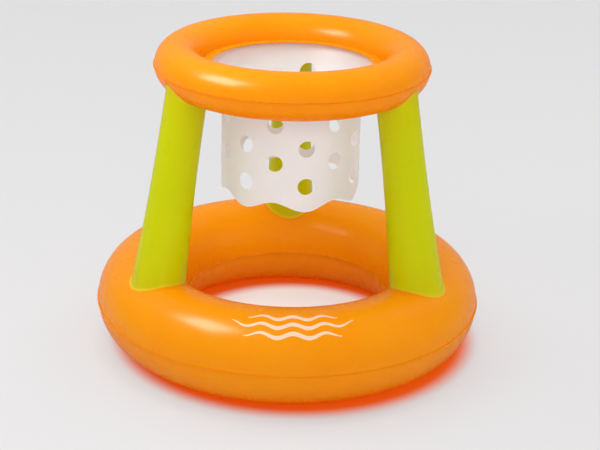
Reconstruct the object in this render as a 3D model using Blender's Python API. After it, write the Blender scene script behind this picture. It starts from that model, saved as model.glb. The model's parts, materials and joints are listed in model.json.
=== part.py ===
"""Floating basketball hoop of welded vinyl, blown up.

A base ring floats, three tapered legs stand on it, and they carry the rim with its net.
The origin is the middle of the base ring's flat underside, +Z is up, and the front is -Y.
"""
import math
from collections import namedtuple

import bmesh
import bpy
from mathutils import Matrix, Vector

# Driving dimensions of the whole hoop, in metres
overall_height = 0.535
base_outer_diameter = 0.670
base_tube_diameter = 0.157
rim_outer_diameter = 0.465
rim_tube_diameter = 0.078
vinyl_thickness = 0.0003
weld_gap = 0.0003
outer_seam_width = 0.002
base_inner_seam_width = 0.004
rim_inner_seam_width = 0.018

# Legs: tubes that taper from a wide foot to a head just narrower than the rim's tube
leg_azimuths = {"leg_left": 210.0, "leg_right": 330.0, "leg_rear": 90.0}
leg_foot_diameter = 0.090
leg_foot_inset = 0.0065
leg_head_margin = 0.004
leg_weld_width = 0.003
leg_taper_power = 2
leg_wall_shares = (0.12, 0.3, 0.55, 0.8)
foot_search_shares = (-0.5, 0.5)
head_search_shares = (1.2, 0.5)
vent_diameter = 0.014

# Net: a tube of frosted sheet with a wavy lower edge and holes in low and high columns by turns
net_diameter = 0.238
net_drop = 0.216
net_flare_length = 0.065
net_hem_width = 0.004
net_flare_shares = (0.25, 0.5, 0.75)
net_hole_diameter = 0.028
net_hole_pitch = 0.065
low_column_height = 0.0375
low_column_holes = 3
high_column_height = 0.0765
high_column_holes = 2
scallop_count = 7
scallop_depth = 0.015
scallop_fade_height = 0.022
first_low_column_azimuth = math.radians(270 + 90 / scallop_count)

# Inflation valves: a collar welded to the panel, a stem that slides in it, a plug and a check flap
valve_azimuths = {"base": 60.0, "rim": 120.0}
valve_weld_diameter = 0.026
valve_weld_thickness = 0.0006
sleeve_diameter = 0.0165
sleeve_height = 0.0025
running_clearance = 0.0003
stem_diameter = 0.0124
stem_bore_diameter = 0.008
stem_head_diameter = 0.0156
stem_head_height = 0.0016
stem_travel = 0.010
stem_bead_diameter = 0.015
stem_bead_height = 0.0016
port_clearance = 0.0006
plug_head_diameter = 0.014
plug_head_height = 0.0014
plug_depth = 0.004
plug_clearance = 0.0004
plug_hinge_offset = 0.0105
strap_width = 0.0044
strap_thickness = 0.001
knuckle_diameter = 0.0016
flap_diameter = 0.0104
flap_thickness = 0.0006
flap_hinge_offset = 0.0058
flap_hinge_width = 0.0036
flap_knuckle_diameter = 0.001

# Facets of the round pieces, and how far a cutter runs past what it cuts
base_facets = 48
base_arc_facets = 9
rim_facets = 48
rim_arc_facets = 7
leg_facets = 24
net_facets_per_scallop = 8
hole_facets = 14
valve_facets = 20
knuckle_facets = 10
sharp_angle = math.radians(38)
search_steps = 40
cutter_overrun = 0.010

Ring = namedtuple("Ring", "centre_radius tube_radius height inner_seam_width facets arc_facets")


def clear_scene():
    """Remove the objects that the file holds already."""
    for thing in list(bpy.data.objects):
        bpy.data.objects.remove(thing, do_unlink=True)


def make_material(name, colour, roughness, alpha=1.0):
    """Vinyl of one colour."""
    material = bpy.data.materials.new(name)
    material.use_nodes = True
    shader = material.node_tree.nodes["Principled BSDF"]
    shader.inputs["Base Color"].default_value = (*colour, 1.0)
    shader.inputs["Roughness"].default_value = roughness
    shader.inputs["Metallic"].default_value = 0.0
    shader.inputs["Alpha"].default_value = alpha
    material.diffuse_color = (*colour, alpha)
    return material


def circle(radius, height, facets):
    """Points of a level circle round the Z axis."""
    points = []
    for i in range(facets):
        angle = math.tau * i / facets
        points.append(Vector((radius * math.cos(angle), radius * math.sin(angle), height)))
    return points


def bar(length, width, thickness):
    """The two end loops of a bar that runs from the origin along +X."""
    corners = ((-1, -1), (1, -1), (1, 1), (-1, 1))
    return [[Vector((x, y * width / 2, z * thickness / 2)) for y, z in corners] for x in (0, length)]


def add_body(shell, loops, capped):
    """Add a body made of loops of equal counts, in a closed chain or in an open one capped at its ends."""
    rows = []
    for loop in loops:
        rows.append([shell.verts.new(point) for point in loop])
    followers = rows[1:] if capped else rows[1:] + rows[:1]
    for row, follower in zip(rows, followers):
        for i in range(len(row)):
            j = (i + 1) % len(row)
            shell.faces.new((row[i], row[j], follower[j], follower[i]))
    if capped:
        shell.faces.new(rows[0][::-1])
        shell.faces.new(rows[-1])


def make_mesh(name, bodies, material=None, capped=False):
    """A smooth-shaded mesh of one or more separate bodies, with all faces pointing out."""
    shell = bmesh.new()
    for loops in bodies:
        add_body(shell, loops, capped)
    if shell.calc_volume(signed=True) < 0:
        bmesh.ops.reverse_faces(shell, faces=shell.faces)
    mesh = bpy.data.meshes.new(name)
    shell.to_mesh(mesh)
    shell.free()
    mesh.shade_smooth()
    mesh.set_sharp_from_angle(angle=sharp_angle)
    if material:
        mesh.materials.append(material)
    return mesh


def add_object(name, mesh, parent=None, matrix=None):
    """Put a mesh in the scene, at a place given relative to its parent."""
    thing = bpy.data.objects.new(name, mesh)
    bpy.context.scene.collection.objects.link(thing)
    thing.parent = parent
    if matrix:
        thing.matrix_basis = matrix
    return thing


def combine(thing, helper, operation):
    """Join a hidden helper to an object, or cut the object with it."""
    helper.hide_render = True
    helper.display_type = "WIRE"
    modifier = thing.modifiers.new(helper.name, "BOOLEAN")
    modifier.operation = operation
    modifier.solver = "EXACT"
    modifier.object = helper


def cylinder_loops(start, end, radius, facets):
    """The two end loops of a cylinder between two points."""
    along = end - start
    place = Matrix.Translation(start) @ along.to_track_quat("Z", "Y").to_matrix().to_4x4()
    return [[place @ point for point in circle(radius, height, facets)] for height in (0, along.length)]


def add_cutter(thing, name, bodies):
    """Cut an object with one or more convex bodies."""
    combine(thing, add_object(name, make_mesh(name, bodies, capped=True)), "DIFFERENCE")


def chord_sag(radius, facets, curve_radius):
    """How deep a circle's facets dip into the curved surface that the circle's points lie on."""
    chord = math.tau * radius / facets
    return chord ** 2 / (8 * curve_radius)


# Rings: a tube's surface lies tube_radius from its core, which is a level circle

def make_ring(outer_diameter, tube_diameter, inner_seam_width, facets, arc_facets, low=None, high=None):
    """A ring whose flat lowest facets stand at height low, or whose flat highest facets reach height high."""
    tube_radius = tube_diameter / 2
    flat_reach = tube_radius * math.cos(math.pi / (2 * arc_facets))
    height = high - flat_reach if low is None else low + flat_reach
    return Ring(outer_diameter / 2 - tube_radius, tube_radius, height, inner_seam_width, facets, arc_facets)


def core_point(ring, point):
    """The point of a ring's core that is nearest to a point."""
    flat = Vector((point.x, point.y, 0)).normalized() * ring.centre_radius
    return Vector((flat.x, flat.y, ring.height))


def land(ring, offset, path, inside, outside):
    """Where a path that starts inside a tube crosses the surface that lies offset outside the tube."""
    for _ in range(search_steps):
        middle = (inside + outside) / 2
        point = path(middle)
        if (point - core_point(ring, point)).length < ring.tube_radius + offset:
            inside = middle
        else:
            outside = middle
    return outside


def lip_point(ring, offset, root, axis_point, width):
    """The edge of a weld lip that lies on a tube and spreads by width from its root, away from an axis."""
    normal = (root - core_point(ring, root)).normalized()
    away = root - axis_point
    away -= normal * away.dot(normal)
    tip = root + away.normalized() * width
    core = core_point(ring, tip)
    return core + (tip - core).normalized() * (ring.tube_radius + offset)


def panel_section(ring, side):
    """Half a tube's wall with its two flat seams, as reach from the core and height; side is 1 or -1."""
    under = weld_gap / 2
    over = under + vinyl_thickness
    radius = ring.tube_radius
    bore = radius - vinyl_thickness
    outer_tip = radius + outer_seam_width
    inner_tip = -radius - ring.inner_seam_width
    angles = [math.pi * k / ring.arc_facets for k in range(1, ring.arc_facets)]
    section = [(outer_tip, over), (radius, over)]
    section += [(radius * math.cos(angle), radius * math.sin(angle)) for angle in angles]
    section += [(-radius, over), (inner_tip, over), (inner_tip, under), (-bore, under)]
    section += [(bore * math.cos(angle), bore * math.sin(angle)) for angle in reversed(angles)]
    section += [(bore, under), (outer_tip, under)]
    return [(reach, side * height) for reach, height in section]


def add_panel(name, ring, side, material):
    """A ring's upper or lower panel."""
    loops = []
    for reach, height in panel_section(ring, side):
        loops.append(circle(ring.centre_radius + reach, ring.height + height, ring.facets))
    return add_object(name, make_mesh(name, [loops], material))


# Legs: one mesh on the +X side, turned about Z to each leg's place

def make_leg_mesh(base, rim, material):
    """A tapered tube with a weld lip that lies on the base ring and another under the rim."""
    foot_radius = leg_foot_diameter / 2
    head_radius = rim.tube_radius - leg_head_margin
    foot = Vector((base.centre_radius - leg_foot_inset, 0, base.height + base.tube_radius))
    rim_core = Vector((rim.centre_radius, 0, rim.height))
    along = (rim_core - foot).normalized()
    head = rim_core - along * rim.tube_radius
    across = Vector((0, 1, 0))
    inward = across.cross(along)
    foot_offset = weld_gap + chord_sag(foot_radius, leg_facets, base.tube_radius)
    head_offset = weld_gap + chord_sag(head_radius, leg_facets, rim.tube_radius)

    def wall(angle, share, depth):
        """A point depth under the outer side, at an angle round the leg and a share of its length."""
        widening = (foot_radius - head_radius) * abs(1 - share) ** leg_taper_power
        outward = inward * math.cos(angle) + across * math.sin(angle)
        return foot.lerp(head, share) + outward * (head_radius + widening - depth)

    def foot_share(angle, depth, offset):
        return land(base, offset, lambda share: wall(angle, share, depth), *foot_search_shares)

    def head_share(angle, depth, offset):
        return land(rim, offset, lambda share: wall(angle, share, depth), *head_search_shares)

    def lip(ring, offset, angle, share):
        root = wall(angle, share, 0)
        axis_point = foot + along * (root - foot).dot(along)
        return lip_point(ring, offset, root, axis_point, leg_weld_width)

    columns = []
    for i in range(leg_facets):
        angle = math.tau * i / leg_facets
        low = foot_share(angle, 0, foot_offset + vinyl_thickness)
        high = head_share(angle, 0, head_offset + vinyl_thickness)
        shares = [low + (high - low) * share for share in leg_wall_shares]
        low_bore = foot_share(angle, vinyl_thickness, foot_offset)
        high_bore = head_share(angle, vinyl_thickness, head_offset)
        column = [lip(base, foot_offset + vinyl_thickness, angle, low)]
        column += [wall(angle, share, 0) for share in [low] + shares + [high]]
        column += [lip(rim, head_offset + vinyl_thickness, angle, high), lip(rim, head_offset, angle, high)]
        column += [wall(angle, share, vinyl_thickness) for share in [high_bore] + shares[::-1] + [low_bore]]
        column.append(lip(base, foot_offset, angle, low))
        columns.append(column)
    return make_mesh("leg", [list(zip(*columns))], material)


def add_legs(base, rim, rim_lower_panel, material):
    """The three legs, with a vent from each into the rim."""
    mesh = make_leg_mesh(base, rim, material)
    vents = []
    for name, azimuth in leg_azimuths.items():
        turn = Matrix.Rotation(math.radians(azimuth), 4, "Z")
        add_object(name, mesh, matrix=turn)
        inside = Vector((rim.centre_radius, 0, rim.height))
        outside = inside - Vector((0, 0, rim.tube_radius + cutter_overrun))
        vents.append(cylinder_loops(turn @ outside, turn @ inside, vent_diameter / 2, hole_facets))
    add_cutter(rim_lower_panel, "vent_cutter", vents)


# Net: its hem is welded under the root of the rim's wide inner seam, and it narrows from there to a
# straight tube

def net_rows(rim):
    """The outer side's rows: radius, height, and the share of the edge's wave that the row follows."""
    hem_height = rim.height - 1.5 * weld_gap - 2 * vinyl_thickness
    inner_radius = rim.centre_radius - rim.tube_radius
    hem_radius = inner_radius * math.cos(math.pi / rim.facets) - weld_gap
    top_radius = inner_radius - net_hem_width
    radius = net_diameter / 2
    straight_top = rim.height - net_flare_length
    edge_height = rim.height - net_drop
    rows = [(hem_radius, hem_height, 0), (top_radius, hem_height, 0)]
    for share in net_flare_shares:
        narrowing = (1 - math.cos(math.pi * share)) / 2
        height = hem_height + (straight_top - hem_height) * share
        rows.append((top_radius + (radius - top_radius) * narrowing, height, 0))
    rows.append((radius, straight_top, 0))
    rows.append((radius, edge_height + scallop_fade_height, 0))
    rows.append((radius, edge_height, 1))
    return rows


def inner_rows(rows):
    """The same rows on the sheet's inner side, with mitred corners."""
    steps = []
    for (radius, height, _), (next_radius, next_height, _) in zip(rows, rows[1:]):
        steps.append(Vector((next_radius - radius, next_height - height)).normalized())
    moved = []
    for (radius, height, wave), step, next_step in zip(rows, steps[:1] + steps, steps + steps[-1:]):
        normal = Vector((step.y, -step.x))
        bisector = (normal + Vector((next_step.y, -next_step.x))).normalized()
        shift = bisector * (vinyl_thickness / bisector.dot(normal))
        moved.append((radius + shift.x, height + shift.y, wave))
    return moved


def hole_cutters(rim):
    """A radial cutter for each hole of the low and the high columns."""
    columns = ((0, low_column_height, low_column_holes), (0.5, high_column_height, high_column_holes))
    cutters = []
    for scallop in range(scallop_count):
        for step, first_height, holes in columns:
            azimuth = first_low_column_azimuth + math.tau * (scallop + step) / scallop_count
            outward = Vector((math.cos(azimuth), math.sin(azimuth), 0))
            for hole in range(holes):
                level = Vector((0, 0, rim.height - net_drop + first_height + hole * net_hole_pitch))
                start = level + outward * (net_diameter / 2 - cutter_overrun)
                end = level + outward * rim.centre_radius
                cutters.append(cylinder_loops(start, end, net_hole_diameter / 2, hole_facets))
    return cutters


def add_net(rim, material):
    """The net: a thin sheet with a wavy edge, punched through."""
    rows = net_rows(rim)
    loops = []
    for radius, height, wave in rows + inner_rows(rows)[::-1]:
        loop = circle(radius, height, scallop_count * net_facets_per_scallop)
        for point in loop:
            turn = math.atan2(point.y, point.x) - first_low_column_azimuth
            point.z -= wave * scallop_depth / 2 * math.cos(scallop_count * turn)
        loops.append(loop)
    net = add_object("net", make_mesh("net", [loops], material))
    add_cutter(net, "net_hole_cutter", hole_cutters(rim))


# Valves: each is built along its own Z axis, which points out of the tube

def valve_frame(ring, azimuth):
    """A frame on a tube's surface at its first facet line over the seam: X along the ring, Z outwards."""
    turn = math.radians(azimuth)
    tilt = math.pi / ring.arc_facets
    radial = Vector((math.cos(turn), math.sin(turn), 0))
    outward = radial * math.cos(tilt) + Vector((0, 0, math.sin(tilt)))
    sideways = Vector((-math.sin(turn), math.cos(turn), 0))
    core = radial * ring.centre_radius + Vector((0, 0, ring.height))
    axes = Matrix((sideways, outward.cross(sideways), outward)).transposed().to_4x4()
    return Matrix.Translation(core + outward * ring.tube_radius) @ axes


def seated_loop(ring, frame, radius, offset):
    """A circle round a valve's axis that lies offset outside the tube, in the valve's frame."""
    reach = ring.tube_radius
    loop = []
    for point in circle(radius, 0, valve_facets):
        height = land(ring, offset, lambda h: frame @ (point + Vector((0, 0, h))), -reach, reach)
        loop.append(point + Vector((0, 0, height)))
    return loop


def panel_depth(ring, radius):
    """How deep a panel's inner side can lie under the round tube, radius away from a valve's axis."""
    arc_sag = ring.tube_radius * (1 - math.cos(math.pi / (2 * ring.arc_facets)))
    ring_sag = (ring.centre_radius + ring.tube_radius) * (1 - math.cos(math.pi / ring.facets))
    return vinyl_thickness + radius ** 2 / (2 * ring.tube_radius) + arc_sag + ring_sag


def add_collar(name, ring, frame, material):
    """The flange that is welded to the panel, with the sleeve that guides the stem."""
    offset = weld_gap + chord_sag(valve_weld_diameter / 2, valve_facets, ring.tube_radius)
    bore = stem_diameter / 2 + running_clearance
    loops = [
        seated_loop(ring, frame, valve_weld_diameter / 2, offset + valve_weld_thickness),
        seated_loop(ring, frame, sleeve_diameter / 2, offset + valve_weld_thickness),
        circle(sleeve_diameter / 2, sleeve_height, valve_facets),
        circle(bore, sleeve_height, valve_facets),
        seated_loop(ring, frame, bore, offset),
        seated_loop(ring, frame, valve_weld_diameter / 2, offset),
    ]
    add_object(name, make_mesh(name, [loops], material), matrix=frame)


def add_hinge_bar(thing, name, place, length, width, thickness, barrel_diameter):
    """Join to a hinged piece the bar and the round barrel that lead it to its hinge line, which is Y."""
    side = Vector((0, width / 2, 0))
    ends = cylinder_loops(-side, side, barrel_diameter / 2, knuckle_facets)
    for part, loops in (("_strip", bar(length, width, thickness)), ("_barrel", ends)):
        mesh = make_mesh(name + part, [loops], capped=True)
        combine(thing, add_object(name + part, mesh, thing.parent, place), "UNION")


def add_valve(ring_name, ring, panel, material):
    """One inflation valve and its port in a ring's upper panel."""
    name = ring_name + "_valve"
    frame = valve_frame(ring, valve_azimuths[ring_name])
    port = cylinder_loops(Vector((0, 0, -cutter_overrun)), Vector((0, 0, cutter_overrun)),
                          stem_diameter / 2 + port_clearance, hole_facets)
    add_cutter(panel, name + "_port_cutter", [[[frame @ point for point in loop] for loop in port]])
    add_collar(name + "_collar", ring, frame, material)

    head_low = sleeve_height + running_clearance
    head_high = head_low + stem_head_height
    bead_radius = stem_bead_diameter / 2
    bead_high = -stem_travel - panel_depth(ring, bead_radius) - running_clearance
    bead_low = bead_high - stem_bead_height
    plug_low = head_high + running_clearance
    plug_line = plug_low + plug_head_height / 2
    flap_line = bead_low - running_clearance - flap_knuckle_diameter / 2

    stem_profile = [
        (stem_bore_diameter / 2, head_high), (stem_head_diameter / 2, head_high),
        (stem_head_diameter / 2, head_low), (stem_diameter / 2, head_low),
        (stem_diameter / 2, bead_high), (bead_radius, bead_high),
        (bead_radius, bead_low), (stem_bore_diameter / 2, bead_low),
    ]
    stem_loops = [circle(radius, height, valve_facets) for radius, height in stem_profile]
    stem = add_object(name + "_stem", make_mesh(name + "_stem", [stem_loops], material), matrix=frame)

    lug_high = plug_line - knuckle_diameter / 2 - running_clearance
    lug_reach = plug_hinge_offset + knuckle_diameter / 2
    wall_middle = (stem_bore_diameter + stem_diameter) / 4
    lug = bar(lug_reach - wall_middle, strap_width, lug_high - head_low)
    lug_place = frame @ Matrix.Translation((-lug_reach, 0, (lug_high + head_low) / 2))
    lug_mesh = make_mesh(name + "_lug", [lug], capped=True)
    combine(stem, add_object(name + "_lug", lug_mesh, matrix=lug_place), "UNION")

    # The plug's pin tapers to the width at which its tip still swings clear of the bore's far edge
    edge_distance = math.hypot(plug_hinge_offset + stem_bore_diameter / 2, plug_line - head_high)
    edge_reach = edge_distance - running_clearance
    pin_radius = stem_bore_diameter / 2 - plug_clearance
    tip_drop = plug_line - head_high + plug_depth
    tip_radius = math.sqrt(edge_reach ** 2 - tip_drop ** 2) - plug_hinge_offset
    plug_profile = [
        (tip_radius, -tip_drop), (pin_radius, -plug_head_height / 2),
        (plug_head_diameter / 2, -plug_head_height / 2), (plug_head_diameter / 2, plug_head_height / 2),
    ]
    shift = Vector((plug_hinge_offset, 0, 0))
    plug_loops = []
    for radius, height in plug_profile:
        plug_loops.append([point + shift for point in circle(radius, height, valve_facets)])
    plug_place = Matrix.Translation((-plug_hinge_offset, 0, plug_line))
    plug_mesh = make_mesh(name + "_plug", [plug_loops], material, capped=True)
    plug = add_object(name + "_plug", plug_mesh, stem, plug_place)
    add_hinge_bar(plug, name + "_strap", plug_place, plug_hinge_offset, strap_width, strap_thickness,
                  knuckle_diameter)

    flap_shift = Vector((-flap_hinge_offset, 0, 0))
    flap_loops = []
    for height in (-flap_thickness / 2, flap_thickness / 2):
        flap_loops.append([point + flap_shift for point in circle(flap_diameter / 2, height, valve_facets)])
    flap_place = Matrix.Translation((flap_hinge_offset, 0, flap_line))
    flap_mesh = make_mesh(name + "_flap", [flap_loops], material, capped=True)
    flap = add_object(name + "_flap", flap_mesh, stem, flap_place)
    add_hinge_bar(flap, name + "_flap_tab", flap_place @ Matrix.Rotation(math.pi, 4, "Z"), flap_hinge_offset,
                  flap_hinge_width, flap_thickness, flap_knuckle_diameter)


def build():
    """The whole hoop."""
    clear_scene()
    orange = make_material("orange_vinyl", (0.93, 0.30, 0.012), 0.28)
    lime = make_material("lime_vinyl", (0.53, 0.55, 0.002), 0.32)
    frosted = make_material("frosted_vinyl", (0.82, 0.78, 0.79), 0.45, alpha=0.75)
    clear = make_material("clear_vinyl", (0.78, 0.80, 0.82), 0.30)
    base = make_ring(
        base_outer_diameter, base_tube_diameter, base_inner_seam_width, base_facets, base_arc_facets, low=0,
    )
    rim = make_ring(
        rim_outer_diameter, rim_tube_diameter, rim_inner_seam_width, rim_facets, rim_arc_facets, high=overall_height,
    )
    base_upper_panel = add_panel("base_upper_panel", base, 1, orange)
    add_panel("base_lower_panel", base, -1, orange)
    rim_upper_panel = add_panel("rim_upper_panel", rim, 1, orange)
    rim_lower_panel = add_panel("rim_lower_panel", rim, -1, orange)
    add_legs(base, rim, rim_lower_panel, lime)
    add_net(rim, frosted)
    add_valve("base", base, base_upper_panel, clear)
    add_valve("rim", rim, rim_upper_panel, clear)


build()
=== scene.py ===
"""Looks of a floating basketball hoop of welded vinyl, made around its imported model.

Lengths are in metres. +Z is up, the front is -Y, and the base ring stands on Z = 0.
"""
import json
import math
from collections import namedtuple
from functools import partial

import bmesh
import bpy
import numpy as np
from mathutils import Matrix, Vector


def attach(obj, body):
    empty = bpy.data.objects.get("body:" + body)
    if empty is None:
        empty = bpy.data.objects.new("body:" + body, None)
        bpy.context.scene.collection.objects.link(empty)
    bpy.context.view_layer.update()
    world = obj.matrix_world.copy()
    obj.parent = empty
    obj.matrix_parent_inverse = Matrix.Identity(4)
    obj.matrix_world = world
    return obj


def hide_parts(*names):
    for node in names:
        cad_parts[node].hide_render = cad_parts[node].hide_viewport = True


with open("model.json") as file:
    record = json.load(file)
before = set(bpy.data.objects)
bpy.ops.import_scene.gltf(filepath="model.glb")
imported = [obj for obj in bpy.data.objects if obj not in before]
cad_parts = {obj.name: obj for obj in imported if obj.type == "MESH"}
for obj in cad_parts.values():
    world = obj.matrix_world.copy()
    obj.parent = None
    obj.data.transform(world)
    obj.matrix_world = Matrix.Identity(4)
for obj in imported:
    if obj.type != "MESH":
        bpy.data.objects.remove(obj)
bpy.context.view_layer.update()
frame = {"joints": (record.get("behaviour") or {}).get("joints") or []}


# Camera: it stands in front of the hoop, a little above the rim, and looks down on it through a
# long lens, so that both rings stay close to true ellipses.
frame_width_px = 600
focal_length_px = 1521.2
sensor_width_mm = 36.0
camera_place = Vector((0.0, -2.4837, 1.1877))
camera_yaw = -0.0078
camera_pitch_down = 0.377
camera_roll = 0.0252


def in_scene(name, data):
    """A new object in the scene, which shows some data."""
    thing = bpy.data.objects.new(name, data)
    bpy.context.scene.collection.objects.link(thing)
    return thing


camera_data = bpy.data.cameras.new("camera")
camera_data.sensor_width = sensor_width_mm
camera_data.lens = focal_length_px * sensor_width_mm / frame_width_px
camera = in_scene("camera", camera_data)
turned = Matrix.Rotation(camera_yaw, 4, "Z") @ Matrix.Rotation(math.pi / 2 - camera_pitch_down, 4, "X")
camera.matrix_world = Matrix.Translation(camera_place) @ turned @ Matrix.Rotation(camera_roll, 4, "Z")
bpy.context.scene.camera = camera


# Studio: a pale paper sweep that runs up behind the hoop in one bend, a softbox near the hoop's
# upper left, and wide soft fills from the front, from above, from the right and from both rear
# corners. The paper's colour carries a painted orange shadow and glow in a band round the base
# ring's foot, and painted light on the paper inside the ring.
sweep_colour = (0.53, 0.53, 0.54)
paper_lift_colour = (0.865, 0.85, 0.85)
paper_lift = 0.55
# Painted light on the paper: an orange band of painted shadow and glow round the base ring's foot, and a
# brighter painted lift inside the ring.
paper_painted_glow_colour = (0.98, 0.20, 0.008)
paper_painted_glow_lift_colour = (0.76, 0.09, 0.004)
painted_glow_middle = (0.012, -0.002, 0.0)
painted_light_ring_radius = 0.2565
painted_glow_reach = (0.036, 0.078)
paper_painted_hole_light_colour = (1.20, 1.02, 0.94)
paper_roughness = 0.75
paper_gloss = 0.2
sweep_half_width = 9.0
sweep_front = -9.0
sweep_back = 4.5
sweep_bend_radius = 2.5
sweep_top = 9.0
sweep_drop = 0.0004
sweep_bend_steps = 24
world_colour = (0.97, 0.985, 1.0)
world_strength = 0.60
world_gleam = 0.24
softbox_place = Vector((-0.69, -0.33, 1.15))
softbox_aim = Vector((-0.05, -0.05, 0.30))
softbox_size = (0.52, 0.40)
softbox_lamps = (("softbox", 3.9, False), ("softbox_gleam", 18.0, True))
fill_spread = math.radians(34)
fills = (
    ("front_fill", Vector((0.0, 0.92, -0.40)), 1.05),
    ("top_fill", Vector((0.10, -0.25, -1.0)), 1.15),
    ("left_rear_fill", Vector((0.60, -0.50, -0.65)), 0.7),
    ("right_rear_fill", Vector((-0.55, -0.50, -0.70)), 0.7),
    ("right_fill", Vector((-0.85, 0.25, -0.45)), 0.4),
)


def feed(tree, node, inputs):
    """Link a node's inputs to outputs or nodes, or set them to values."""
    for name, value in inputs.items():
        if isinstance(value, bpy.types.Node):
            value = value.outputs[0]
        if isinstance(value, bpy.types.NodeSocket):
            tree.links.new(value, node.inputs[name])
        else:
            node.inputs[name].default_value = value


def add_node(tree, kind, inputs=(), **settings):
    """Add a node with its inputs and its settings."""
    node = tree.nodes.new(kind)
    for name, value in settings.items():
        setattr(node, name, value)
    feed(tree, node, dict(inputs))
    return node


def figure(tree, operation, *values, clamp=False):
    """The result of one Math node."""
    node = add_node(tree, "ShaderNodeMath", dict(enumerate(values)), operation=operation, use_clamp=clamp)
    return node.outputs[0]


def vector_figure(tree, operation, *values):
    """The result of one Vector Math node."""
    return add_node(tree, "ShaderNodeVectorMath", dict(enumerate(values)), operation=operation).outputs[0]


def spread(tree, value, low, high, to_low=0.0, to_high=1.0, **settings):
    """A value carried over from one range to another, and held inside it."""
    return add_node(tree, "ShaderNodeMapRange", {
        "Value": value, "From Min": low, "From Max": high, "To Min": to_low, "To Max": to_high,
    }, **settings).outputs[0]


def blend(tree, share, first, second):
    """A colour between two, which are colours or the outputs of nodes."""
    first, second = ((*colour, 1) if isinstance(colour, tuple) else colour for colour in (first, second))
    return add_node(tree, "ShaderNodeMix", {0: share, 6: first, 7: second}, data_type="RGBA").outputs[2]


def new_finish(name, **levels):
    """A new material with its tree and its shader, on which some inputs are set."""
    material = bpy.data.materials.new(name)
    material.use_nodes = True
    tree = material.node_tree
    shader = tree.nodes["Principled BSDF"]
    feed(tree, shader, {label.replace("_", " "): level for label, level in levels.items()})
    return material, tree, shader


def surface_of(tree, share, first, second):
    """Give a material the surface of two shaders, with a share of the second."""
    mix = add_node(tree, "ShaderNodeMixShader", {0: share, 1: first, 2: second})
    feed(tree, tree.nodes["Material Output"], {"Surface": mix})


def plain_mesh(name, points, faces=()):
    """A mesh of points and faces."""
    mesh = bpy.data.meshes.new(name)
    mesh.from_pydata(points, [], faces)
    return mesh


sweep_profile = [(sweep_front, -sweep_drop), (0.0, -sweep_drop)]
for k in range(sweep_bend_steps + 1):
    angle = math.pi / 2 * k / sweep_bend_steps
    rise = sweep_bend_radius * (1 - math.cos(angle)) - sweep_drop
    sweep_profile.append((sweep_back + sweep_bend_radius * math.sin(angle), rise))
sweep_profile.append((sweep_back + sweep_bend_radius, sweep_top))
sweep_points = [(side * sweep_half_width, y, z) for y, z in sweep_profile for side in (-1, 1)]
sweep_faces = [(2 * k, 2 * k + 1, 2 * k + 3, 2 * k + 2) for k in range(len(sweep_profile) - 1)]
sweep_mesh = plain_mesh("sweep", sweep_points, sweep_faces)
sweep_mesh.shade_smooth()
sweep = in_scene("sweep", sweep_mesh)
paper, paper_tree, paper_shader = new_finish(
    "paper", Roughness=paper_roughness, Specular_IOR_Level=paper_gloss,
)
# The paper's base colour and its camera-ray lift turn orange in a band round the base ring's foot: painted
# shadow and painted glow, not light from the lamps.
paper_spot = add_node(paper_tree, "ShaderNodeTexCoord").outputs["Object"]
paper_reach = add_node(
    paper_tree, "ShaderNodeVectorMath", {0: paper_spot, 1: painted_glow_middle}, operation="DISTANCE",
).outputs["Value"]
paper_off = figure(paper_tree, "SUBTRACT", paper_reach, painted_light_ring_radius)
paper_away = figure(paper_tree, "ABSOLUTE", paper_off)
painted_glow_share = spread(paper_tree, paper_away, *painted_glow_reach, 1.0, 0.0, interpolation_type="SMOOTHSTEP")
painted_hole_light_share = figure(paper_tree, "LESS_THAN", paper_reach, painted_light_ring_radius)
feed(paper_tree, paper_shader, {
    "Base Color": blend(paper_tree, painted_glow_share, sweep_colour, paper_painted_glow_colour),
})
# Inside the ring the camera-ray lift is stronger: painted light on the paper there.
paper_lift_with_painted_hole_light = blend(paper_tree, painted_hole_light_share, paper_lift_colour, paper_painted_hole_light_colour)
paper_light = add_node(paper_tree, "ShaderNodeEmission", {
    "Color": blend(paper_tree, painted_glow_share, paper_lift_with_painted_hole_light, paper_painted_glow_lift_colour),
})
seen_rays = add_node(paper_tree, "ShaderNodeLightPath").outputs["Is Camera Ray"]
surface_of(paper_tree, figure(paper_tree, "MULTIPLY", seen_rays, paper_lift), paper_shader, paper_light)
sweep_mesh.materials.append(paper)

world = bpy.data.worlds.new("studio")
world.use_nodes = True
world_light = world.node_tree.nodes["Background"]
glossy_rays = add_node(world.node_tree, "ShaderNodeLightPath").outputs["Is Glossy Ray"]
feed(world.node_tree, world_light, {
    "Color": (*world_colour, 1.0),
    "Strength": spread(world.node_tree, glossy_rays, 0.0, 1.0, world_strength, world_gleam),
})
bpy.context.scene.world = world
softbox_turn = (softbox_aim - softbox_place).to_track_quat("-Z", "Y").to_matrix().to_4x4()
for lamp_name, lamp_power, only_gleams in softbox_lamps:
    lamp_light = bpy.data.lights.new(lamp_name, "AREA")
    lamp_light.shape = "RECTANGLE"
    lamp_light.size, lamp_light.size_y = softbox_size
    lamp_light.energy = lamp_power
    lamp = in_scene(lamp_name, lamp_light)
    lamp.matrix_world = Matrix.Translation(softbox_place) @ softbox_turn
    lamp.visible_diffuse = not only_gleams
    lamp.visible_transmission = not only_gleams
for fill_name, fill_direction, fill_strength in fills:
    fill_light = bpy.data.lights.new(fill_name, "SUN")
    fill_light.angle = fill_spread
    fill_light.energy = fill_strength
    fill = in_scene(fill_name, fill_light)
    fill.matrix_world = fill_direction.to_track_quat("-Z", "Y").to_matrix().to_4x4()
    fill.visible_glossy = False
bpy.context.scene.view_settings.view_transform = "Standard"


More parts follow.
